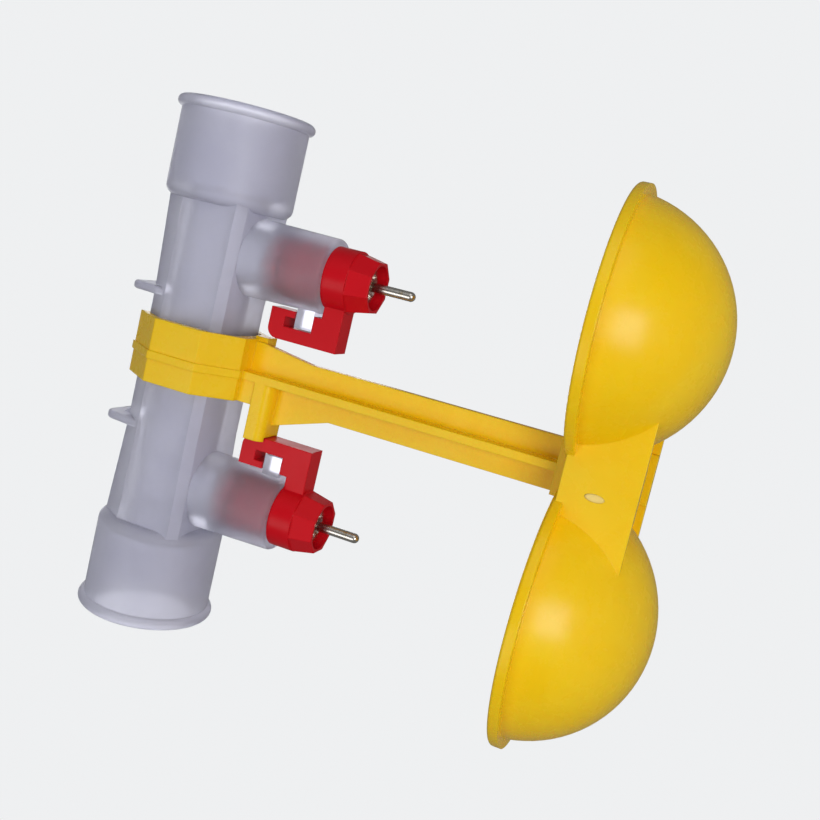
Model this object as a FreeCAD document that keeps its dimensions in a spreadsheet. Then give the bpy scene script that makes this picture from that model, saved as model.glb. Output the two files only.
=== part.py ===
"""Poultry nipple drinker: a clear tee for 25 mm pipe, two red nipple valves and a clip-on twin cup hanger.

Frame: the pipe runs along X and +Z is up, so the valves and the cups hang towards -Z. The origin is on the
pipe's axis, in the plane of one socket's mouth. In the sheet, names that end in _high, _low, _base or _lip and
stand below the pipe are depths under the pipe's axis, so a larger number is further down.
"""
import FreeCAD, Part
import math
import os
import re
import Sketcher
from FreeCAD import Vector

doc = FreeCAD.newDocument("nipple_drinker")

# ---------------------------------------------------------------- driving dimensions, in millimetres
SIZES = {
    # tee: two pipe sockets
    "half_run": 62.5,          # middle of the tee to a socket's mouth
    "pipe_bore_rad": 12.6,     # socket for a pipe of 25 mm outside diameter
    "pipe_stop": 20.0,         # socket's mouth to the pipe stop
    "socket_wall": 2.65,
    "socket_run": 21.0,        # mouth to where the socket starts to neck down
    "neck_round": 2.4,
    "bead_step": 1.2,          # rim bead above the socket
    "bead_width": 2.7,
    # tee: the body between the sockets
    "body_half": 11.25,        # half width across the flat sides
    "body_base": 10.2,         # pipe axis to the flat underside
    "body_top": 11.3,          # pipe axis to the flat top
    "base_bevel": 2.0,
    "top_bevel_across": 4.95,
    "top_bevel_down": 5.95,
    "body_draft": 0.7,         # how much each face stands out beside the sockets
    "water_rad": 8.4,
    # tee: the two valve ports
    "port_x": 28.9,            # middle of the tee to a port's axis
    "port_root_rad": 9.45,
    "port_lip_rad": 9.0,
    "port_lip": 31.2,
    "port_bore_rad": 7.05,
    "port_floor": 14.8,
    "port_feed_rad": 5.4,
    "lip_round": 0.8,
    "lug_reach": 13.45,        # port axis to the end of the lug that the valve's hook catches
    "lug_half": 2.6,
    "lug_high": 24.9,
    "lug_low": 29.3,
    # tee: ears on both sides of the hanger's clip
    "ear_x": 16.2,
    "ear_thick": 2.0,
    "ear_top": 16.9,
    "ear_half": 9.0,
    "ear_lean": 1.6,
    "ear_corner": 3.2,
    "ear_edge": 0.7,
    "gusset_run": 3.4,
    "gusset_half": 5.5,
    # hanger: the clip
    "hanger_shift": 1.7,       # middle of the tee to the hanger's rib
    "clip_up": 8.6,            # rib to the clip's +X edge
    "clip_down": 6.4,          # rib to the clip's -X edge
    "clip_gap": 0.15,          # clearance between the clip and the tee
    "clip_wall": 2.6,
    "lip_wall": 1.5,
    "lip_half": 5.6,           # half of the clip's opening
    "clip_base": 15.5,
    "clip_bevel": 7.6,
    "band_step": 0.35,          # raised band round the clip
    "band_width": 1.9,
    # hanger: root, leg and arm
    "root_half": 4.6,
    "leg_half": 5.2,
    "leg_high": 19.4,
    "leg_low": 24.0,
    "leg_reach": 14.4,
    "leg_round": 2.3,
    "slot_half": 3.4,          # recess for the valve's hook in the end of the leg
    "slot_deep": 1.0,
    "arm_half": 6.0,
    "arm_thick": 2.0,
    "rib_half": 5.2,
    "rib_thick": 1.9,
    "flare_low": 38.0,
    "flare_reach": 11.3,
    "shoulder_low": 31.0,
    "shoulder_half": 8.0,
    "shoulder_high": 17.5,
    "tab_reach": 9.2,
    "tab_low": 17.9,
    # hanger: cups and the bridge between them
    "cup_x": 31.9,             # rib to a cup's axis
    "cup_rad": 28.85,
    "cup_wall": 1.7,
    "cup_centre": 92.6,
    "rim_high": 94.95,
    "rim_drop": 2.4,
    "rim_step": 1.8,           # rim's edge beyond the bowl
    "rim_round": 0.7,
    "bridge_half": 14.6,
    "bridge_wall": 1.7,
    "bridge_high": 95.8,
    "bridge_low": 111.8,
    "bridge_reach": 17.0,
    "bridge_roof": 1.8,
    "land_half_x": 5.8,        # raised land where the arm joins the bridge
    "land_half_y": 7.0,
    "land_high": 93.0,
    "pad_half": 5.9,           # thick middle of each side wall
    "pad_step": 1.4,
    # nipple valve: red housing
    "spigot_gap": 0.12,        # clearance of the spigot in the port
    "spigot_high": 16.2,
    "groove_high": 19.5,
    "groove_wide": 2.3,
    "groove_deep": 1.45,
    "counter_rad": 4.4,
    "counter_low": 25.9,
    "barrel_rad": 7.45,
    "barrel_low": 37.0,
    "nose_rad": 6.35,          # to the nose's eight corners
    "nose_low": 42.3,
    "mouth_rad": 5.0,
    "mouth_flare": 0.3,
    "mouth_high": 39.2,
    "strap_half": 3.0,
    "strap_high": 29.6,
    "strap_low": 36.6,
    "strap_reach": 17.0,
    "hook_thick": 3.2,
    "hook_high": 18.5,
    "hook_root_low": 22.3,
    "hook_tip_low": 24.7,
    "hook_tip_thick": 1.6,
    "hook_gap": 0.35,          # clearance of the hook and the strap round the port
    "hook_round": 2.6,
    # nipple valve: steel sleeve, seat ring, stem, pin and washer
    "fit_gap": 0.02,           # clearance of pieces pressed into one another
    "sleeve_rad": 4.0,
    "sleeve_high": 25.0,
    "sleeve_low": 40.4,
    "chamber_rad": 3.1,
    "chamber_low": 35.6,
    "throat_rad": 1.95,
    "throat_low": 36.6,
    "flare_rad": 3.3,
    "washer_thick": 1.5,
    "washer_bore_rad": 1.75,
    "seat_high": 27.3,
    "seat_low": 28.7,
    "seat_bore_rad": 1.65,
    "stem_rad": 1.3,
    "stem_head_rad": 2.6,
    "stem_head": 1.9,
    "stem_low": 29.0,
    "stem_edge": 0.3,
    "pin_rad": 1.15,
    "pin_head_rad": 2.7,
    "pin_pivot": 31.98,        # pipe axis to the middle of the pin's ball
    "pin_low": 51.6,
    # nipple valve: seal on the spigot, and strainer cap
    "cord_rad": 0.77,
    "cap_high": 15.2,
    "cap_flange_rad": 6.0,
    "cap_plug_low": 19.4,
    "cap_bore_rad": 3.0,
    "strainer_hole_rad": 0.7,
    "strainer_ring_rad": 1.9,
    "strainer_holes": 5,
}

sheet = doc.addObject("Spreadsheet::Sheet", "dims")
for row, (name, value) in enumerate(SIZES.items(), start=1):
    sheet.set("A%d" % row, name)
    sheet.set("B%d" % row, str(value))
    sheet.setAlias("B%d" % row, name)
doc.recompute()

# formulas used more than once
SOCKET_RAD = "(pipe_bore_rad + socket_wall)"
NECK_END = "(half_run - socket_run - neck_round)"
SLOPE = "sqrt(top_bevel_across ^ 2 + top_bevel_down ^ 2)"
SPIGOT_RAD = "(port_bore_rad - spigot_gap)"
HOOK_TIP = "(port_root_rad + hook_gap)"
RIM_LOW = "(rim_high + rim_drop)"
STEP_HIGH = "(clip_base - 1)"
ARM_END = "(bridge_high + bridge_roof / 2)"


def bound(formula):
    """The formula with every size name pointed at its cell in the sheet."""
    return re.sub(r"[a-z_]+", lambda word: "dims." + word.group() if word.group() in SIZES else word.group(), formula)


def size(formula):
    """The formula's value now, as the document works it out."""
    return float(sheet.evalExpression(bound(formula)))


def bind(obj, **formulas):
    """Ties properties of the object to formulas in the sheet's sizes; __ in a name stands for a dot."""
    for prop, formula in formulas.items():
        obj.setExpression(prop.replace("__", "."), bound(formula))


# ---------------------------------------------------------------- sketches
PLANES = {"side": "XZ_Plane", "end": "YZ_Plane", "flat": "XY_Plane"}


def new_body(label, across="half_run", half_turn=False):
    """A body whose own origin stands on the pipe's axis at the formula across."""
    body = doc.addObject("PartDesign::Body", label)
    body.Label = label
    bind(body, Placement__Base__x=across)
    if half_turn:
        body.Placement.Rotation = FreeCAD.Rotation(Vector(0, 0, 1), 180)
    return body


def origin_feature(body, role):
    return next(feature for feature in body.Origin.OriginFeatures if feature.Role == role)


def new_sketch(body, name, plane, lift=None, shift=None):
    """A sketch on an origin plane of the body, lifted along its normal and shifted along its level axis."""
    sketch = body.newObject("Sketcher::SketchObject", name + "_sketch")
    sketch.AttachmentSupport = [(origin_feature(body, PLANES[plane]), "")]
    sketch.MapMode = "FlatFace"
    if lift:
        bind(sketch, AttachmentOffset__Base__z=lift)
    if shift:
        bind(sketch, AttachmentOffset__Base__x=shift)
    return sketch


def hold(sketch, index, end, across, up):
    """Holds a point of the sketch at two formulas, measured from the sketch's origin; None leaves one free."""
    for kind, formula in (("DistanceX", across), ("DistanceY", up)):
        if formula is None:
            continue
        number = sketch.addConstraint(Sketcher.Constraint(kind, -1, 1, index, end, size(formula)))
        sketch.setExpression("Constraints[%d]" % number, bound(formula))


def add_side(sketch, corner, after):
    """Draws one side of an outline: a line to the next corner, or an arc to it about the corner's centre."""
    start, stop = (Vector(size(p[0]), size(p[1]), 0) for p in (corner, after))
    if len(corner) == 2:
        sketch.addGeometry(Part.LineSegment(start, stop), False)
        return
    centre = Vector(size(corner[2]), size(corner[3]), 0)
    ends = (start, stop) if corner[4] > 0 else (stop, start)
    angles = [math.atan2(p.y - centre.y, p.x - centre.x) for p in ends]
    whole = Part.Circle(centre, Vector(0, 0, 1), (start - centre).Length)
    sketch.addGeometry(Part.ArcOfCircle(whole, *angles), False)


def first_end(corner):
    """The number of the point at which a side starts: clockwise arcs are stored the other way round."""
    return 2 if len(corner) == 5 and corner[4] < 0 else 1


def outline(sketch, corners):
    """A closed outline, fully held by formulas.

    A corner is (across, up), or (across, up, centre across, centre up, turn) where an arc about that centre
    runs to the next corner, anticlockwise for turn 1 and clockwise for turn -1.
    """
    first = sketch.GeometryCount
    for i, corner in enumerate(corners):
        add_side(sketch, corner, corners[(i + 1) % len(corners)])
    for i, corner in enumerate(corners):
        after = (i + 1) % len(corners)
        sketch.addConstraint(Sketcher.Constraint("Coincident", first + i, 3 - first_end(corner),
                                                 first + after, first_end(corners[after])))
    for i, corner in enumerate(corners):
        before = corners[i - 1]
        across, up = corner[0], corner[1]
        if len(before) == 5:
            # the arc that ends here already holds the distance from its centre
            beside = abs(size(across) - size(before[2])) > abs(size(up) - size(before[3]))
            across, up = (None, up) if beside else (across, None)
        hold(sketch, first + i, first_end(corner), across, up)
        if len(corner) == 5:
            hold(sketch, first + i, 3, corner[2], corner[3])


def rectangle(low_across, low_up, high_across, high_up):
    return [(low_across, low_up), (high_across, low_up), (high_across, high_up), (low_across, high_up)]


def add_circle(sketch, radius, across="0", up="0"):
    centre = Vector(size(across), size(up), 0)
    index = sketch.addGeometry(Part.Circle(centre, Vector(0, 0, 1), size(radius)), False)
    hold(sketch, index, 3, across, up)
    number = sketch.addConstraint(Sketcher.Constraint("Radius", index, size(radius)))
    sketch.setExpression("Constraints[%d]" % number, bound(radius))


# ---------------------------------------------------------------- features
def cuts(body, make):
    """Makes a feature with make() and checks that the body lost volume."""
    before = body.Shape.Volume
    feature = make()
    assert feature.Shape.Volume < before - 1e-6, feature.Name + " cuts nothing"
    return feature


def extruded(body, kind, name, plane, corners, length, lift, midplane, reverse):
    sketch = new_sketch(body, name, plane, lift)
    outline(sketch, corners)
    feature = body.newObject(kind, name)
    feature.Profile = sketch
    bind(feature, Length=length)
    feature.Midplane = midplane
    feature.Reversed = reverse
    doc.recompute()
    return feature


def pad(body, name, plane, corners, length, lift=None, midplane=False, reverse=False):
    return extruded(body, "PartDesign::Pad", name, plane, corners, length, lift, midplane, reverse)


def pocket(body, name, plane, corners, length, lift=None, midplane=False, reverse=False):
    return cuts(body, lambda: extruded(body, "PartDesign::Pocket", name, plane, corners, length, lift,
                                       midplane, reverse))


def revolved(body, kind, name, corners, shift, axis):
    sketch = new_sketch(body, name, "side", shift=shift)
    outline(sketch, corners)
    feature = body.newObject(kind, name)
    feature.Profile = sketch
    feature.ReferenceAxis = (sketch, [axis])
    feature.Angle = 360.0
    doc.recompute()
    return feature


def turned(body, name, corners, shift=None, axis="V_Axis"):
    """Turns an outline in the side plane about the sketch's upright axis, or about H_Axis, its level one."""
    return revolved(body, "PartDesign::Revolution", name, corners, shift, axis)


def turned_out(body, name, corners, shift=None, axis="V_Axis"):
    """As turned, but takes the shape away."""
    return cuts(body, lambda: revolved(body, "PartDesign::Groove", name, corners, shift, axis))


def lofted(body, name, first, second):
    """A straight-sided loft between two outlines given as (plane, lift, corners)."""
    sketches = []
    for number, (plane, lift, corners) in enumerate((first, second), start=1):
        sketch = new_sketch(body, "%s_%d" % (name, number), plane, lift)
        outline(sketch, corners)
        sketches.append(sketch)
    feature = body.newObject("PartDesign::AdditiveLoft", name)
    feature.Profile = sketches[0]
    feature.Sections = sketches[1:]
    feature.Ruled = True
    doc.recompute()
    return feature


def mirrored(body, name, originals):
    """Copies features to the other side of the body's own YZ plane."""
    feature = body.newObject("PartDesign::Mirrored", name)
    feature.Originals = originals
    feature.MirrorPlane = (origin_feature(body, "YZ_Plane"), [""])
    body.Tip = feature
    doc.recompute()
    return feature


def fillet(body, name, wanted, radius):
    """Rounds those edges of the body's tip for which wanted(edge's box) is true."""
    base = body.Tip
    picked = ["Edge%d" % i for i, edge in enumerate(base.Shape.Edges, start=1) if wanted(edge.BoundBox)]
    assert picked, name + " finds no edge"
    feature = body.newObject("PartDesign::Fillet", name)
    feature.Base = (base, picked)
    bind(feature, Radius=radius)
    doc.recompute()
    return feature


def ring(inner, outer, high, low):
    """The half section of a plain ring, for turning."""
    return rectangle(inner, "-(%s)" % low, outer, "-(%s)" % high)


# ---------------------------------------------------------------- tee
def body_section(grow="0"):
    """The tee's section between its sockets: flat sides, small bevels below and wide bevels above."""
    half = "(body_half + %s)" % grow
    right = [(half + " - base_bevel", "-(body_base + %s)" % grow), (half, "base_bevel - body_base - %s" % grow),
             (half, "body_top - top_bevel_down"), (half + " - top_bevel_across", "body_top + %s" % grow)]
    return right + [("-(%s)" % across, up) for across, up in reversed(right)]


def make_tee():
    tee = new_body("tee_fitting")
    pad(tee, "middle", "end", body_section(), "2 * ear_x", midplane=True)
    flank = lofted(tee, "flank", ("end", "ear_x", body_section()),
                   ("end", NECK_END + " + 1", body_section("body_draft")))
    bead_mid, bead_up = "half_run - bead_width / 2", SOCKET_RAD + " + bead_step - bead_width / 2"
    socket = turned(tee, "socket", [
        (NECK_END, "0"), ("half_run", "0"), ("half_run", bead_up, bead_mid, bead_up, 1),
        ("half_run - bead_width", bead_up), ("half_run - bead_width", SOCKET_RAD),
        ("half_run - socket_run", SOCKET_RAD, "half_run - socket_run", SOCKET_RAD + " - neck_round", 1),
        (NECK_END, SOCKET_RAD + " - neck_round")], axis="H_Axis")
    round_x = "port_lip_rad - lip_round"
    port = turned(tee, "port", [
        ("0", "0"), ("0", "-port_lip"), (round_x, "-port_lip", round_x, "lip_round - port_lip", 1),
        ("port_lip_rad", "lip_round - port_lip"), ("port_root_rad", "-body_base"), ("port_root_rad", "0")],
        shift="port_x")
    lug = pad(tee, "lug", "side", rectangle("port_x - lug_reach", "-lug_low", "port_x", "-lug_high"),
              "2 * lug_half", midplane=True)
    flat, corner_up = "(ear_half - ear_corner)", "ear_top - ear_corner"
    ear = pad(tee, "ear", "end", [
        ("-(ear_half + ear_lean)", "body_top - top_bevel_down"), ("ear_half + ear_lean", "body_top - top_bevel_down"),
        ("ear_half", corner_up, flat, corner_up, 1), (flat, "ear_top"),
        ("-" + flat, "ear_top", "-" + flat, corner_up, 1), ("-ear_half", corner_up)],
        "ear_thick", lift="ear_x - ear_thick / 2")
    mirrored(tee, "other_half", [flank, socket, port, lug, ear])
    fillet(tee, "ear_edges", is_ear_edge, "ear_edge")
    pad(tee, "gusset", "side", [
        ("-ear_x", "body_top - 1"), ("gusset_run - ear_x", "body_top - 1"), ("-ear_x", "ear_top - ear_thick")],
        "2 * gusset_half", midplane=True)
    stop = "(half_run - pipe_stop)"
    right = [("half_run + 1", "pipe_bore_rad"), (stop, "pipe_bore_rad"), (stop, "water_rad")]
    left = [("-(%s)" % across, up) for across, up in reversed(right)]
    turned_out(tee, "water_way", [("-(half_run + 1)", "0"), ("half_run + 1", "0")] + right + left, axis="H_Axis")
    bore = turned_out(tee, "port_bore", [
        ("0", "0"), ("0", "-(port_lip + 1)"), ("port_bore_rad", "-(port_lip + 1)"), ("port_bore_rad", "-port_floor"),
        ("port_feed_rad", "-port_floor"), ("port_feed_rad", "0")], shift="port_x")
    mirrored(tee, "other_port_bore", [bore])
    return tee


def is_ear_edge(box):
    """True for the edges round an ear's faces, above the tee's top."""
    faces = size("ear_x - ear_thick / 2"), size("ear_x + ear_thick / 2")
    flat = box.XLength < 0.01 and min(abs(abs(box.XMin) - x) for x in faces) < 0.01
    return flat and box.ZMax > size("body_top") + 1


# ---------------------------------------------------------------- hanger
def on_slope(across, stand):
    """Height at which a line along the tee's upper bevel, standing off it by stand, passes over across."""
    return ("body_top - top_bevel_down + (%s) * %s / top_bevel_across"
            " - ((%s) - body_half) * top_bevel_down / top_bevel_across" % (stand, SLOPE, across))


def clip_section(proud="0"):
    """The open band round the tee; its outside stands proud of the plain clip."""
    side, base = "(body_half + clip_gap + clip_wall + %s)" % proud, "(clip_base + %s)" % proud
    bevel = "(clip_bevel + (2 - sqrt(2)) * %s)" % proud
    stand, wrap = "clip_gap + lip_wall + %s" % proud, "lip_half + 0.8"
    inner_side, inner_top = "(body_half + clip_gap)", "body_top + clip_gap"
    inner_low = "(clip_base - clip_wall)"
    corner_sum = "(body_half + body_base - base_bevel + sqrt(2) * clip_gap)"
    top_across = ("body_half + clip_gap * %s / top_bevel_down"
                  " - (clip_gap + top_bevel_down) * top_bevel_across / top_bevel_down" % SLOPE)
    outside = [("lip_half", inner_top + " + 0.8 * lip_wall"), (wrap, on_slope(wrap, stand)),
               (side, on_slope(side, stand)), (side, "%s - %s" % (bevel, base)),
               ("%s - %s" % (side, bevel), "-" + base)]
    inside = [("lip_half", inner_top), (top_across, inner_top), (inner_side, on_slope(inner_side, "clip_gap")),
              (inner_side, "%s - %s" % (inner_side, corner_sum)), ("%s - %s" % (corner_sum, inner_low), "-" + inner_low)]

    def flipped(corners):
        return [("-(%s)" % across, up) for across, up in reversed(corners)]

    return outside[::-1] + inside + flipped(inside) + flipped(outside[::-1])


def make_hanger():
    hanger = new_body("cup_hanger", "half_run + hanger_shift")
    pad(hanger, "clip", "end", clip_section(), "clip_up + clip_down", lift="-clip_down")
    pad(hanger, "band", "end", clip_section("band_step"), "band_width", lift="-band_width / 2")
    # arm: a flat plate crossed by a rib, with shoulders that flare out to the clip and the leg
    pad(hanger, "arm", "side", [
        ("-arm_half", "-" + ARM_END), ("arm_half", "-" + ARM_END), ("arm_half", "-shoulder_low"),
        ("shoulder_half", "-shoulder_high"), ("shoulder_half", "-" + STEP_HIGH), ("-clip_down", "-" + STEP_HIGH),
        ("-clip_down", "-leg_high"), ("-flare_reach", "-leg_high"), ("-flare_reach", "-(leg_low - leg_round)"),
        ("-arm_half", "-flare_low")], "arm_thick", midplane=True)
    pad(hanger, "arm_rib", "end", rectangle("-rib_half", "-" + ARM_END, "rib_half", "-" + STEP_HIGH),
        "rib_thick", lift="-rib_thick / 2")
    pad(hanger, "root", "end", rectangle("-root_half", "-(leg_high + 1)", "root_half", "-" + STEP_HIGH),
        "clip_down + rib_thick / 2", lift="-clip_down")
    pad(hanger, "tab", "flat", rectangle("0", "0", "tab_reach", "root_half"), "tab_low - " + STEP_HIGH,
        lift="-tab_low")
    flat, low_up = "(leg_half - leg_round)", "leg_round - leg_low"
    pad(hanger, "leg", "end", [
        ("-leg_half", "-leg_high"), ("-leg_half", low_up, "-" + flat, low_up, 1), ("-" + flat, "-leg_low"),
        (flat, "-leg_low", flat, low_up, 1), ("leg_half", low_up), ("leg_half", "-leg_high")],
        "leg_reach + rib_thick / 2", lift="-leg_reach")
    pocket(hanger, "hook_slot", "flat", rectangle("-(leg_reach + 1)", "-slot_half", "slot_deep - leg_reach", "slot_half"),
           "leg_low - leg_high + 2", lift="-(leg_high - 1)")
    make_cups(hanger)
    return hanger


def make_cups(hanger):
    """A bridge with two side walls, and a bowl at each end of it."""
    pad(hanger, "bridge", "side", rectangle("-bridge_reach", "-bridge_low", "bridge_reach", "-bridge_high"),
        "2 * bridge_half", midplane=True)
    wall_in = "(bridge_half - bridge_wall)"
    pocket(hanger, "bridge_hollow", "side",
           rectangle("-bridge_reach", "-(bridge_low + 1)", "bridge_reach", "-(bridge_high + bridge_roof)"),
           "2 * " + wall_in, midplane=True)
    pad(hanger, "land", "flat", rectangle("-land_half_x", "-land_half_y", "land_half_x", "land_half_y"),
        ARM_END + " - land_high", lift="-" + ARM_END)
    for name, side in (("near", "-"), ("far", "")):
        inner, outer = "%s(%s - pad_step)" % (side, wall_in), "%s(bridge_half - bridge_wall / 2)" % side
        low, high = (outer, inner) if side else (inner, outer)
        pad(hanger, name + "_pad", "end", rectangle(low, "-bridge_low", high, "-" + ARM_END),
            "2 * pad_half", lift="-pad_half")
    rim_edge, rim_flat = "(cup_rad + rim_step)", "(cup_rad + rim_step - rim_round)"
    rim_join = "sqrt(cup_rad ^ 2 - (%s - cup_centre) ^ 2)" % RIM_LOW
    bowl = turned(hanger, "bowl", [
        ("0", "-(cup_centre + cup_rad)", "0", "-cup_centre", 1), (rim_join, "-" + RIM_LOW),
        (rim_edge, "-" + RIM_LOW), (rim_edge, "-(rim_high + rim_round)", rim_flat, "-(rim_high + rim_round)", 1),
        (rim_flat, "-rim_high"), ("0", "-rim_high")], shift="cup_x")
    mirrored(hanger, "other_bowl", [bowl])
    inner_rad = "(cup_rad - cup_wall)"
    hollow = turned_out(hanger, "bowl_hollow", [
        ("0", "-(cup_centre + %s)" % inner_rad, "0", "-cup_centre", 1), (inner_rad, "-cup_centre"),
        ("0", "-cup_centre")], shift="cup_x")
    mirrored(hanger, "other_bowl_hollow", [hollow])


# ---------------------------------------------------------------- nipple valve
def octagon(corner_rad):
    """Eight corners on a circle, with flats towards X and Y."""
    near, far = "%s * sin(22.5)" % corner_rad, "%s * cos(22.5)" % corner_rad
    return [(far, "-" + near), (far, near), (near, far), ("-" + near, far),
            ("-" + far, near), ("-" + far, "-" + near), ("-" + near, "-" + far), (near, "-" + far)]


def make_housing(label, place):
    """Red plastic: spigot with a seal groove, barrel, eight-sided nose and the hook that catches the port's lug."""
    housing = new_body(label, *place)
    groove_rad, groove_low = "(%s - groove_deep)" % SPIGOT_RAD, "(groove_high + groove_wide)"
    turned(housing, "barrel", [
        ("0", "-spigot_high"), ("0", "-barrel_low"), ("barrel_rad", "-barrel_low"), ("barrel_rad", "-port_lip"),
        (SPIGOT_RAD, "-port_lip"), (SPIGOT_RAD, "-" + groove_low), (groove_rad, "-" + groove_low),
        (groove_rad, "-groove_high"), (SPIGOT_RAD, "-groove_high"), (SPIGOT_RAD, "-spigot_high")])
    lofted(housing, "nose", ("flat", "-barrel_low", octagon("barrel_rad")), ("flat", "-nose_low", octagon("nose_rad")))
    arm_in, lip_clear = "(strap_reach - hook_thick)", "-(port_lip + hook_gap)"
    tip_in = "(%s + hook_tip_thick)" % HOOK_TIP
    corner_x, corner_z = "hook_round - strap_reach", "-(hook_high + hook_round)"
    pad(housing, "hook", "side", [
        ("0", "-strap_low"), ("0", lip_clear), ("-" + HOOK_TIP, lip_clear), ("-" + HOOK_TIP, "-strap_high"),
        ("-" + arm_in, "-strap_high"), ("-" + arm_in, "-hook_root_low"), ("-" + tip_in, "-hook_root_low"),
        ("-" + tip_in, "-hook_tip_low"), ("-" + HOOK_TIP, "-hook_tip_low"), ("-" + HOOK_TIP, "-hook_high"),
        (corner_x, "-hook_high", corner_x, corner_z, 1), ("-strap_reach", corner_z), ("-strap_reach", "-strap_low")],
        "2 * strap_half", midplane=True)
    turned_out(housing, "bore", [
        ("0", "-(spigot_high - 1)"), ("0", "-(nose_low + 1)"), ("mouth_rad + mouth_flare", "-(nose_low + 1)"),
        ("mouth_rad + mouth_flare", "-nose_low"), ("mouth_rad", "-mouth_high"),
        ("sleeve_rad + fit_gap", "-mouth_high"), ("sleeve_rad + fit_gap", "-counter_low"),
        ("counter_rad", "-counter_low"), ("counter_rad", "-(spigot_high - 1)")])


def make_sleeve(label, place):
    """Steel sleeve: flange, chamber, ledge for the washer, throat and a flared mouth round the pin."""
    turned(new_body(label, *place), "sleeve", [
        ("chamber_rad", "-sleeve_high"), ("chamber_rad", "-chamber_low"), ("throat_rad", "-chamber_low"),
        ("throat_rad", "-throat_low"), ("flare_rad", "-sleeve_low"), ("sleeve_rad", "-sleeve_low"),
        ("sleeve_rad", "-counter_low"), ("counter_rad - fit_gap", "-counter_low"),
        ("counter_rad - fit_gap", "-sleeve_high")])


def make_washer(label, place):
    turned(new_body(label, *place), "washer",
           ring("washer_bore_rad", "chamber_rad - fit_gap", "chamber_low - washer_thick", "chamber_low"))


def make_seat(label, place):
    turned(new_body(label, *place), "seat", ring("seat_bore_rad", "chamber_rad - fit_gap", "seat_high", "seat_low"))


def make_stem(label, place):
    """Steel stem whose head lies on the seat ring, with its foot just over the pin's ball."""
    head_high = "(seat_high - stem_head)"
    turned(new_body(label, *place), "stem", [
        ("0", "-stem_low"), ("stem_rad - stem_edge", "-stem_low"), ("stem_rad", "-(stem_low - stem_edge)"),
        ("stem_rad", "-seat_high"), ("stem_head_rad", "-seat_high"), ("stem_head_rad", "-(%s + stem_edge)" % head_high),
        ("stem_head_rad - stem_edge", "-" + head_high), ("0", "-" + head_high)])


def make_pin(label, place):
    """Steel trigger pin: a ball that rests on the washer, and a round-ended shank."""
    ball_low = "-(pin_pivot + sqrt(pin_head_rad ^ 2 - pin_rad ^ 2))"
    turned(new_body(label, *place), "pin", [
        ("0", "-pin_low", "0", "pin_rad - pin_low", 1), ("pin_rad", "pin_rad - pin_low"),
        ("pin_rad", ball_low, "0", "-pin_pivot", 1), ("0", "pin_head_rad - pin_pivot")])


def make_seal(label, place):
    """Rubber ring in the spigot's groove."""
    seal = new_body(label, *place)
    sketch = new_sketch(seal, "seal", "side")
    add_circle(sketch, "cord_rad", SPIGOT_RAD + " - groove_deep + cord_rad + fit_gap / 2",
               "-(groove_high + groove_wide / 2)")
    feature = seal.newObject("PartDesign::Revolution", "seal")
    feature.Profile = sketch
    feature.ReferenceAxis = (sketch, ["V_Axis"])
    feature.Angle = 360.0
    doc.recompute()


def make_cap(label, place):
    """Strainer cap: a plug in the housing's end with a perforated roof."""
    cap = new_body(label, *place)
    turned(cap, "plug", [
        ("cap_bore_rad", "-cap_plug_low"), ("counter_rad - fit_gap", "-cap_plug_low"),
        ("counter_rad - fit_gap", "-spigot_high"), ("cap_flange_rad", "-spigot_high"), ("cap_flange_rad", "-cap_high"),
        ("0", "-cap_high"), ("0", "-spigot_high"), ("cap_bore_rad", "-spigot_high")])
    sketch = new_sketch(cap, "hole", "flat", lift="-cap_high")
    add_circle(sketch, "strainer_hole_rad", "strainer_ring_rad")
    hole = cap.newObject("PartDesign::Pocket", "hole")
    hole.Profile = sketch
    bind(hole, Length="spigot_high - cap_high")
    doc.recompute()
    holes = cap.newObject("PartDesign::PolarPattern", "holes")
    holes.Originals = [hole]
    holes.Axis = (sketch, ["N_Axis"])
    holes.Angle = 360.0
    cap.Tip = holes
    bind(holes, Occurrences="strainer_holes")
    doc.recompute()
    assert holes.Shape.Volume < hole.Shape.Volume, "the strainer has too few holes"


# ---------------------------------------------------------------- the whole
MAKERS = {"valve_housing": make_housing, "steel_sleeve": make_sleeve, "seat_washer": make_washer,
          "seat_ring": make_seat, "valve_stem": make_stem, "trigger_pin": make_pin, "spigot_seal": make_seal,
          "strainer_cap": make_cap}

make_tee()
make_hanger()
for suffix, place in (("a", ("half_run + port_x", False)), ("b", ("half_run - port_x", True))):
    for stem_name, make in MAKERS.items():
        make("%s_%s" % (stem_name, suffix), place)
doc.recompute()

for obj in doc.Objects:
    assert "Invalid" not in obj.State and "Error" not in obj.State, "%s: %s" % (obj.Name, obj.State)

os.makedirs("parts", exist_ok=True)
for body in doc.findObjects("PartDesign::Body"):
    assert body.Shape.isValid() and len(body.Shape.Solids) == 1, body.Label + " is not one valid solid"
    box = body.Shape.BoundBox
    print("%-18s %7.1f mm3  x %.2f..%.2f  y %.2f..%.2f  z %.2f..%.2f" % (
        body.Label, body.Shape.Volume, box.XMin, box.XMax, box.YMin, box.YMax, box.ZMin, box.ZMax))
    body.Shape.exportStep("parts/%s.step" % body.Label)
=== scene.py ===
# %% [markdown]
# # A drinker for hens, dressed in Blender
# Two drinking valves hang under a milky plastic tee, and a yellow hanger holds a drip cup under each of them.
# The solids come from model.glb and keep their shapes. This lesson gives each of them its plastic, steel or
# rubber, and adds the small forms that a mould leaves behind.

# %% Start
import math

import bpy
import numpy as np
from mathutils import Euler, Matrix, Vector
from mathutils.bvhtree import BVHTree


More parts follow.
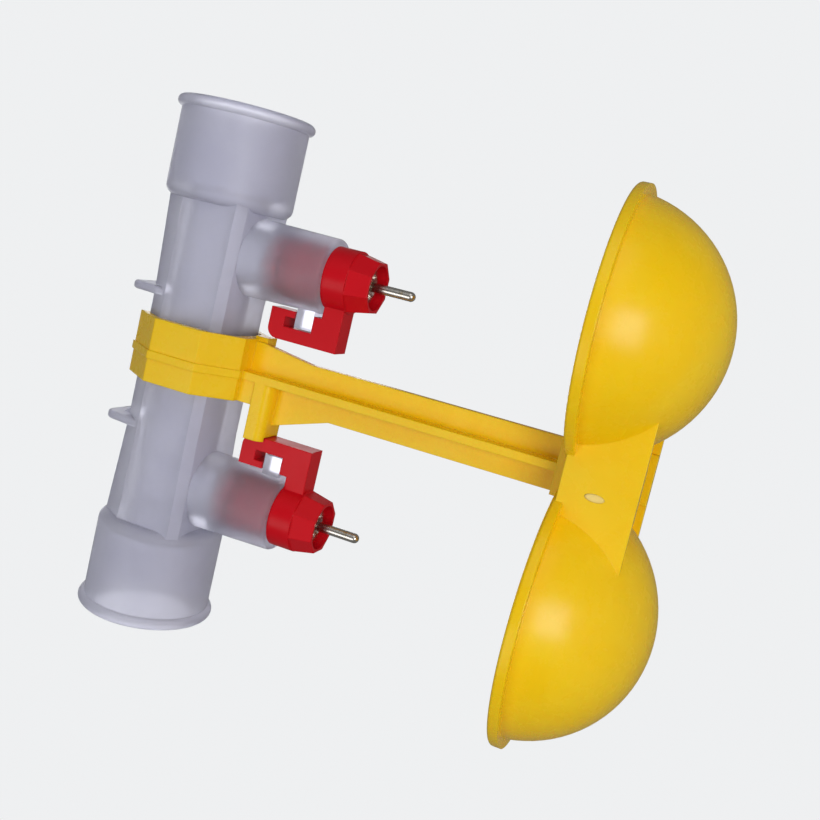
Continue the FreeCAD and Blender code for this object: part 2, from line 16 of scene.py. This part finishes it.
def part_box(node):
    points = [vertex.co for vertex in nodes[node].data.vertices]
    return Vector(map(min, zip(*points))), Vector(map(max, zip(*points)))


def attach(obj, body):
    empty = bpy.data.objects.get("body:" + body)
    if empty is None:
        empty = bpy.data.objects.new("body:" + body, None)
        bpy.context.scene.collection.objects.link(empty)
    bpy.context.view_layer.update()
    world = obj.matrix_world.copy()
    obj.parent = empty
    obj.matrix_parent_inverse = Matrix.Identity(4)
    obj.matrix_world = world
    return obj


bpy.ops.wm.read_factory_settings(use_empty=True)
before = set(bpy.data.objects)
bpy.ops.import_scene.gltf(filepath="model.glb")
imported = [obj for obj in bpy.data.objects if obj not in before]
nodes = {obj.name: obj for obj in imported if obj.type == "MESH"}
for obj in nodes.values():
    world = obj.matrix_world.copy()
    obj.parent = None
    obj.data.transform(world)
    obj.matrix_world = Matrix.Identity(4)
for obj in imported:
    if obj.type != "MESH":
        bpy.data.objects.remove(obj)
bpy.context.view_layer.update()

# %% [markdown]
# ## Where the pieces are
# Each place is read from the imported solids, so the looks follow the part when it changes.

# %% Places
tee_low, tee_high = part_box("tee_fitting")
hanger_low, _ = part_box("cup_hanger")
PORTS = {}
for side in "ab":
    low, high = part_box("trigger_pin_" + side)
    PORTS[side] = (low.x + high.x) / 2
MIDDLE = (tee_low.x + tee_high.x) / 2
print("port axes at x =", {side: round(x, 4) for side, x in PORTS.items()}, "- middle:", round(MIDDLE, 4))

# %% [markdown]
# ## Camera
# The drinker lies on its side before the lens, so the camera is rolled until the pipe stands nearly upright and
# the cups are on the right.

# %% Camera
camera = bpy.data.objects.new("camera", bpy.data.cameras.new("camera"))
camera.location = (0.10261, -0.21703, -0.12594)
camera.rotation_euler = Euler([math.radians(a) for a in (139.883, 66.902, 54.197)])
camera.data.sensor_width = 36
camera.data.lens = 44.39
camera.data.shift_x, camera.data.shift_y = -0.0168, -0.0547
camera.data.clip_start, camera.data.clip_end = 0.01, 30
bpy.context.scene.collection.objects.link(camera)
bpy.context.scene.camera = camera
print("camera at", [round(v, 3) for v in camera.location], "lens", camera.data.lens)

# %% [markdown]
# ## Node helpers
# A material is a small graph, and these helpers keep its lines short. They add a node and feed it, blend two
# colours, turn a value into a mask, and start a shader group with its sockets.


# %% Node helpers
def feed(tree, socket, value):
    """Sets a socket to a value, or links it where the value is another node's socket."""
    if isinstance(value, bpy.types.NodeSocket):
        tree.links.new(value, socket)
    else:
        socket.default_value = value


def add_node(tree, kind, settings=None, **inputs):
    """Adds a node; settings are its own properties, and inputs are given by socket name with _ for a space."""
    node = tree.nodes.new(kind)
    for key, value in (settings or {}).items():
        setattr(node, key, value)
    for name, value in inputs.items():
        feed(tree, node.inputs[name.replace("_", " ")], value)
    return node


def math_node(tree, operation, first, second=0.0, third=0.0):
    """A Math node's result."""
    node = tree.nodes.new("ShaderNodeMath")
    node.operation = operation
    for socket, value in zip(node.inputs, (first, second, third)):
        feed(tree, socket, value)
    return node.outputs[0]


def mix_colour(tree, factor, first, second):
    """A blend of two colours."""
    node = tree.nodes.new("ShaderNodeMix")
    node.data_type = "RGBA"
    for index, value in ((0, factor), (6, first), (7, second)):
        feed(tree, node.inputs[index], value)
    return node.outputs[2]


def ramp(tree, factor, low, high):
    """A mask that rises from 0 at low to 1 at high."""
    node = add_node(tree, "ShaderNodeMapRange", {"interpolation_type": "SMOOTHSTEP"},
                    Value=factor, From_Min=low, From_Max=high)
    return node.outputs[0]


def srgb(red, green, blue):
    """A colour written as 0 to 255 on a screen, as the linear numbers that a shader takes."""
    def linear(value):
        value = value / 255
        return value / 12.92 if value <= 0.04045 else ((value + 0.055) / 1.055) ** 2.4
    return (linear(red), linear(green), linear(blue), 1.0)


def new_group(name, inputs, outputs):
    """An empty shader group with its sockets, its first and its last node."""
    group = bpy.data.node_groups.new(name, "ShaderNodeTree")
    for socket, kind, value in inputs:
        made = group.interface.new_socket(socket, in_out="INPUT", socket_type=kind)
        if value is not None:
            made.default_value = value
    for socket, kind in outputs:
        group.interface.new_socket(socket, in_out="OUTPUT", socket_type=kind)
    return group, group.nodes.new("NodeGroupInput"), group.nodes.new("NodeGroupOutput")


print("helpers ready")

# %% [markdown]
# ## Moulded surface
# Injection moulding leaves faint clouds in the colour, a skin with a soft ripple, and hair-fine scratches from
# handling. All the plastics share them, each at its own strength, so they are one group.


# %% Moulded surface
def make_moulded():
    """The shader group behind every plastic: colour with clouds, roughness with wear, rippled normal."""
    group, start, end = new_group(
        "moulded_skin",
        [("Colour", "NodeSocketColor", None), ("Cloud Colour", "NodeSocketColor", None),
         ("Clouds", "NodeSocketFloat", 0.3), ("Roughness", "NodeSocketFloat", 0.3),
         ("Ripple", "NodeSocketFloat", 0.1), ("Scratches", "NodeSocketFloat", 0.1),
         ("Normal", "NodeSocketVector", None)],
        [("Colour", "NodeSocketColor"), ("Roughness", "NodeSocketFloat"), ("Normal", "NodeSocketVector")])
    place = add_node(group, "ShaderNodeTexCoord").outputs["Object"]
    clouds = add_node(group, "ShaderNodeTexNoise", Vector=place, Scale=70.0, Detail=4.0, Roughness=0.55,
                      Distortion=0.6)
    cloud_mask = math_node(group, "MULTIPLY", ramp(group, clouds.outputs["Fac"], 0.35, 0.7),
                           start.outputs["Clouds"])
    feed(group, end.inputs["Colour"],
         mix_colour(group, cloud_mask, start.outputs["Colour"], start.outputs["Cloud Colour"]))
    # scratches: thin lines where a stretched noise passes its middle value, broken up by a second noise
    lines = []
    for turn, squash in (((0.4, 0.2, 0.9), (900.0, 60.0, 200.0)), ((-0.7, 0.9, 0.3), (120.0, 1100.0, 80.0))):
        mapped = add_node(group, "ShaderNodeMapping", Vector=place, Rotation=turn, Scale=squash)
        noise = add_node(group, "ShaderNodeTexNoise", Vector=mapped.outputs[0], Scale=1.0, Detail=1.0)
        near = math_node(group, "ABSOLUTE", math_node(group, "SUBTRACT", noise.outputs["Fac"], 0.5))
        lines.append(math_node(group, "SUBTRACT", 1.0, ramp(group, near, 0.0, 0.012)))
    broken = add_node(group, "ShaderNodeTexNoise", Vector=place, Scale=160.0, Detail=2.0)
    scratch = math_node(group, "MULTIPLY", math_node(group, "MAXIMUM", lines[0], lines[1]),
                        ramp(group, broken.outputs["Fac"], 0.52, 0.66))
    scratch = math_node(group, "MULTIPLY", scratch, start.outputs["Scratches"])
    wear = add_node(group, "ShaderNodeTexNoise", Vector=place, Scale=240.0, Detail=5.0, Roughness=0.6)
    rough = math_node(group, "MULTIPLY_ADD", math_node(group, "SUBTRACT", wear.outputs["Fac"], 0.5), 0.18,
                      start.outputs["Roughness"])
    feed(group, end.inputs["Roughness"], math_node(group, "MULTIPLY_ADD", scratch, 0.25, rough))
    ripple = add_node(group, "ShaderNodeTexNoise", Vector=place, Scale=420.0, Detail=3.0, Roughness=0.5)
    height = math_node(group, "MULTIPLY", ripple.outputs["Fac"], start.outputs["Ripple"])
    height = math_node(group, "SUBTRACT", height, math_node(group, "MULTIPLY", scratch, 0.3))
    bump = add_node(group, "ShaderNodeBump", Strength=0.35, Distance=0.0001, Height=height,
                    Normal=start.outputs["Normal"])
    feed(group, end.inputs["Normal"], bump.outputs[0])
    return group


MOULDED = make_moulded()
print("group:", MOULDED.name)

# %% [markdown]
# ## Plastics
# Each plastic is one Principled shader fed by the group. A Bevel node rounds the look of the solids' sharp edges,
# as a mould does. The yellow and the red let a little light in under their skin; the tee is milky, so most light
# passes through it and comes out scattered.


# %% Plastics
def plastic(name, colour, cloud_colour, clouds=0.3, roughness=0.3, ripple=0.1, scratches=0.1, edge=0.0003,
            **shader):
    """A moulded plastic; shader gives constants of its Principled BSDF by socket name."""
    material = bpy.data.materials.new(name)
    material.use_nodes = True
    tree = material.node_tree
    principled = tree.nodes["Principled BSDF"]
    rounded = add_node(tree, "ShaderNodeBevel", {"samples": 6}, Radius=edge)
    skin = tree.nodes.new("ShaderNodeGroup")
    skin.node_tree = MOULDED
    for socket, value in (("Colour", colour), ("Cloud Colour", cloud_colour), ("Clouds", clouds),
                          ("Roughness", roughness), ("Ripple", ripple), ("Scratches", scratches),
                          ("Normal", rounded.outputs[0])):
        feed(tree, skin.inputs[socket], value)
    feed(tree, principled.inputs["Base Color"], skin.outputs["Colour"])
    feed(tree, principled.inputs["Roughness"], skin.outputs["Roughness"])
    feed(tree, principled.inputs["Normal"], skin.outputs["Normal"])
    for socket, value in shader.items():
        feed(tree, principled.inputs[socket.replace("_", " ")], value)
    return material


MILKY = plastic("milky_clear_plastic", srgb(206, 206, 220), srgb(218, 218, 229), clouds=0.5, roughness=0.42,
                ripple=0.12, scratches=0.15, IOR=1.3)
YELLOW = plastic("yellow_plastic", srgb(252, 204, 12), srgb(255, 214, 40), clouds=0.5, roughness=0.27, ripple=0.1,
                 scratches=0.12, Subsurface_Weight=0.25, Subsurface_Radius=(0.004, 0.002, 0.0004),
                 Subsurface_Scale=0.5, IOR=1.46, Specular_IOR_Level=0.3)
RED = plastic("red_plastic", srgb(206, 10, 26), srgb(214, 20, 36), clouds=0.4, roughness=0.33, ripple=0.14,
              scratches=0.18, Subsurface_Weight=0.05, Subsurface_Radius=(0.0015, 0.0003, 0.0002),
              Subsurface_Scale=0.5, IOR=1.46, Specular_IOR_Level=0.18)


def clear_ports(material, body=0.58, ports=0.86, wall=0.013, soft=0.003):
    """Lets light through the tee: a share of body above, and of ports along the port walls, wall metres long."""
    tree = material.node_tree
    place = add_node(tree, "ShaderNodeTexCoord").outputs["Object"]
    height = add_node(tree, "ShaderNodeSeparateXYZ", Vector=place).outputs["Z"]
    root = tee_low.z + wall
    mask = ramp(tree, height, root + soft, root - soft)
    feed(tree, tree.nodes["Principled BSDF"].inputs["Transmission Weight"],
         math_node(tree, "MULTIPLY_ADD", mask, ports - body, body))


clear_ports(MILKY)
print("plastics:", MILKY.name, YELLOW.name, RED.name)

# %% [markdown]
# ## Steel and rubber
# The pins are turned from stainless rod: fine rings run round them and catch the light. The rubber is matt, with
# a grain.


# %% Steel and rubber
def make_steel(name, axis_x, ring_scale):
    """Turned steel: rings along Z and streaks round the pin's own axis at axis_x."""
    material = bpy.data.materials.new(name)
    material.use_nodes = True
    tree = material.node_tree
    principled = tree.nodes["Principled BSDF"]
    place = add_node(tree, "ShaderNodeTexCoord").outputs["Object"]
    centred = add_node(tree, "ShaderNodeMapping", Vector=place, Location=(-axis_x, 0.0, 0.0))
    stretched = add_node(tree, "ShaderNodeMapping", Vector=centred.outputs[0], Scale=(60.0, 60.0, ring_scale))
    rings = add_node(tree, "ShaderNodeTexNoise", Vector=stretched.outputs[0], Scale=1.0, Detail=4.0, Roughness=0.7)
    spots = add_node(tree, "ShaderNodeTexNoise", Vector=place, Scale=500.0, Detail=3.0)
    colour = mix_colour(tree, ramp(tree, rings.outputs["Fac"], 0.3, 0.7),
                        (0.50, 0.47, 0.42, 1), (0.78, 0.75, 0.70, 1))
    feed(tree, principled.inputs["Base Color"],
         mix_colour(tree, ramp(tree, spots.outputs["Fac"], 0.6, 0.75), colour, (0.55, 0.45, 0.30, 1)))
    feed(tree, principled.inputs["Roughness"], math_node(tree, "MULTIPLY_ADD", rings.outputs["Fac"], 0.22, 0.12))
    principled.inputs["Metallic"].default_value = 1.0
    bump = add_node(tree, "ShaderNodeBump", Strength=0.25, Distance=0.00005, Height=rings.outputs["Fac"])
    feed(tree, principled.inputs["Normal"], bump.outputs[0])
    return material


def make_rubber(name, dark, light):
    """Matt rubber whose colour drifts between dark and light."""
    material = bpy.data.materials.new(name)
    material.use_nodes = True
    tree = material.node_tree
    principled = tree.nodes["Principled BSDF"]
    place = add_node(tree, "ShaderNodeTexCoord").outputs["Object"]
    grain = add_node(tree, "ShaderNodeTexNoise", Vector=place, Scale=2500.0, Detail=4.0)
    bloom = add_node(tree, "ShaderNodeTexNoise", Vector=place, Scale=300.0, Detail=2.0)
    feed(tree, principled.inputs["Base Color"],
         mix_colour(tree, ramp(tree, bloom.outputs["Fac"], 0.4, 0.7), dark, light))
    feed(tree, principled.inputs["Roughness"], math_node(tree, "MULTIPLY_ADD", grain.outputs["Fac"], 0.2, 0.6))
    bump = add_node(tree, "ShaderNodeBump", Strength=0.3, Distance=0.0001, Height=grain.outputs["Fac"])
    feed(tree, principled.inputs["Normal"], bump.outputs[0])
    return material


STEEL = {side: make_steel("turned_steel_" + side, x, 4000.0) for side, x in PORTS.items()}
RUBBER = make_rubber("black_rubber", (0.012, 0.012, 0.013, 1), (0.03, 0.03, 0.032, 1))
RED_RUBBER = make_rubber("red_rubber", srgb(196, 16, 30), srgb(212, 30, 44))
print("metals and rubbers:", sorted(m.name for m in STEEL.values()), RUBBER.name, RED_RUBBER.name)

# %% [markdown]
# ## Dressing the solids
# A solid whose shape is right keeps it and only gets its material.


# %% Dressing the solids
def dress(node, material):
    """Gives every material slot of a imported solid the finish."""
    mesh = nodes[node].data
    if not mesh.materials:
        mesh.materials.append(material)
    for index in range(len(mesh.materials)):
        mesh.materials[index] = material


dress("tee_fitting", MILKY)
dress("cup_hanger", YELLOW)
for side in "ab":
    for piece in ("valve_housing_", "strainer_cap_"):
        dress(piece + side, RED)
    for piece in ("steel_sleeve_", "seat_ring_", "valve_stem_", "trigger_pin_"):
        dress(piece + side, STEEL[side])
    dress("seat_washer_" + side, RUBBER)
    dress("spigot_seal_" + side, RED_RUBBER)
print("dressed:", len(nodes), "nodes")

# %% [markdown]
# ## Marks of the mould
# The plastic enters the hanger's mould through one small gate, which leaves a low oval dome on the bridge wall;
# its pale colour is a painted highlight. The tee keeps two small nubs on its top. Each is a flat dome that sits on
# its solid: a ray finds the face, and the dome stands on it.


# %% Marks of the mould
def on_face(node, start, direction):
    """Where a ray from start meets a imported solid, and the face's normal there."""
    solid = nodes[node]
    tree = BVHTree.FromObject(solid, bpy.context.evaluated_depsgraph_get())
    place, normal = tree.ray_cast(solid.matrix_world.inverted() @ Vector(start), Vector(direction))[:2]
    return solid.matrix_world @ place, normal


def make_dome(name, place, normal, long_way, radii, material, rounds=32, rings=9):
    """A closed flat ellipsoid, half sunk: (a cos u sin v, b sin u sin v, c cos v) with radii (a, b, c)."""
    u, v = np.meshgrid(np.linspace(0, 2 * np.pi, rounds, endpoint=False), np.linspace(0, np.pi, rings + 2)[1:-1])
    ball = np.stack([np.cos(u) * np.sin(v), np.sin(u) * np.sin(v), np.cos(v)], axis=-1).reshape(-1, 3)
    points = np.vstack([ball, [(0, 0, 1), (0, 0, -1)]]) * radii
    side = Vector(normal).cross(Vector(long_way)).normalized()
    turn = Matrix((side.cross(Vector(normal)), side, Vector(normal))).transposed()
    points = points @ np.array(turn).T + np.array(place)
    ring, step = np.meshgrid(np.arange(rings - 1), np.arange(rounds), indexing="ij")
    low, next_step = ring * rounds, (step + 1) % rounds
    quads = np.stack([low + step, low + rounds + step, low + rounds + next_step, low + next_step], axis=-1)
    around = np.arange(rounds)
    after, last = (around + 1) % rounds, (rings - 1) * rounds
    top, bottom = np.full(rounds, rings * rounds), np.full(rounds, rings * rounds + 1)
    caps = np.vstack([np.stack([top, around, after], axis=-1),
                      np.stack([bottom, last + after, last + around], axis=-1)])
    mesh = bpy.data.meshes.new(name)
    mesh.from_pydata(points.tolist(), [], quads.reshape(-1, 4).tolist() + caps.tolist())
    mesh.polygons.foreach_set("use_smooth", [True] * len(mesh.polygons))
    mesh.materials.append(material)
    dome = bpy.data.objects.new(name, mesh)
    bpy.context.scene.collection.objects.link(dome)
    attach(dome, "line_unit")


# the gate dome's pale yellow is a painted highlight, not the plastic's own colour
GATE_PAINTED_HIGHLIGHT = plastic("yellow_painted_highlight", srgb(250, 214, 110), srgb(252, 224, 140), clouds=0.6, roughness=0.45,
               Subsurface_Weight=0.1, Subsurface_Radius=(0.002, 0.001, 0.0004), Subsurface_Scale=0.5, IOR=1.46)
GATE_RISE, GATE_SHIFT = 0.01815, -0.0005         # above the lowest point of the cups, and off the middle
GATE_RADII = (0.0021, 0.00085, 0.00012)
NUB_REACH = 0.0255                               # from the middle of the tee to each nub
NUB_RADII = (0.0006, 0.0006, 0.0005)
place, normal = on_face("cup_hanger", (MIDDLE + GATE_SHIFT, -1, hanger_low.z + GATE_RISE), (0, 1, 0))
make_dome("gate_dome_painted_highlight", place, normal, (0, 0, 1), GATE_RADII, GATE_PAINTED_HIGHLIGHT)
print("gate mark at", [round(v, 4) for v in place])
for name, way in (("mould_nub_low", -1), ("mould_nub_high", 1)):
    place, normal = on_face("tee_fitting", (MIDDLE + way * NUB_REACH, 0, 1), (0, 0, -1))
    make_dome(name, place, normal, (1, 0, 0), NUB_RADII, MILKY)
    print(name, "at", [round(v, 4) for v in place])

# %% [markdown]
# ## Studio
# A pale floor lies well below the cups and fades into a pale room. Rays from the camera and rays through clear
# plastic see the room nearly white, while the light that it gives stays gentle. Four soft lamps light it,
# and the key lamp, low and near the lens, makes the shine on the cups.


# %% Studio
def make_world():
    """The pale room, bright to the lens and gentle as a light."""
    world = bpy.data.worlds.new("pale_room")
    world.use_nodes = True
    tree = world.node_tree
    tree.nodes.clear()
    rays = add_node(tree, "ShaderNodeLightPath")
    seen = math_node(tree, "MAXIMUM", rays.outputs["Is Camera Ray"], rays.outputs["Is Transmission Ray"])
    room = add_node(tree, "ShaderNodeBackground", Color=(0.86, 0.87, 0.88, 1), Strength=1.0)
    light = add_node(tree, "ShaderNodeBackground", Color=(1.0, 1.0, 1.0, 1), Strength=0.18)
    both = add_node(tree, "ShaderNodeMixShader")
    feed(tree, both.inputs[0], seen)
    feed(tree, both.inputs[1], light.outputs[0])
    feed(tree, both.inputs[2], room.outputs[0])
    end = tree.nodes.new("ShaderNodeOutputWorld")
    feed(tree, end.inputs[0], both.outputs[0])
    bpy.context.scene.world = world


def make_floor(half=1.0, drop=0.45, fade=(0.5, 0.9)):
    """A square floor, drop below the cups, that fades out between two distances and can't be seen from under."""
    height = hanger_low.z - drop
    mesh = bpy.data.meshes.new("floor")
    mesh.from_pydata([(-half, -half, height), (half, -half, height), (half, half, height), (-half, half, height)],
                     [], [(0, 1, 2, 3)])
    floor = bpy.data.objects.new("floor", mesh)
    bpy.context.scene.collection.objects.link(floor)
    material = bpy.data.materials.new("pale_floor")
    material.use_nodes = True
    tree = material.node_tree
    principled = tree.nodes["Principled BSDF"]
    principled.inputs["Base Color"].default_value = (0.82, 0.83, 0.84, 1)
    principled.inputs["Roughness"].default_value = 0.9
    clear = add_node(tree, "ShaderNodeBsdfTransparent")
    under = add_node(tree, "ShaderNodeNewGeometry").outputs["Backfacing"]
    place = add_node(tree, "ShaderNodeTexCoord").outputs["Object"]
    reach = add_node(tree, "ShaderNodeVectorMath", {"operation": "LENGTH"}, Vector=place).outputs["Value"]
    gone = math_node(tree, "MAXIMUM", under, ramp(tree, reach, *fade))
    either = add_node(tree, "ShaderNodeMixShader")
    feed(tree, either.inputs[0], gone)
    feed(tree, either.inputs[1], principled.outputs[0])
    feed(tree, either.inputs[2], clear.outputs[0])
    feed(tree, tree.nodes["Material Output"].inputs["Surface"], either.outputs[0])
    mesh.materials.append(material)


def make_lamp(name, place, size, power):
    """A square soft lamp that looks at the middle of the object."""
    light = bpy.data.lights.new(name, "AREA")
    light.size, light.energy = size, power
    lamp = bpy.data.objects.new(name, light)
    lamp.location = place
    target = Vector((MIDDLE, 0, -0.05))
    lamp.rotation_euler = (target - Vector(place)).to_track_quat("-Z", "Y").to_euler()
    bpy.context.scene.collection.objects.link(lamp)


make_world()
make_floor()
# name, place, side in metres, power in watts
make_lamp("key", (0.12, -0.5, -0.42), 0.28, 1.75)
make_lamp("side", (-0.25, -0.75, 0.25), 0.45, 1.5)
make_lamp("fill", (0.7, -0.5, -0.1), 0.6, 1.0)
make_lamp("back", (0.0, 0.7, 0.5), 0.6, 2.2)
bpy.context.scene.view_settings.view_transform = "Standard"
print("studio ready")
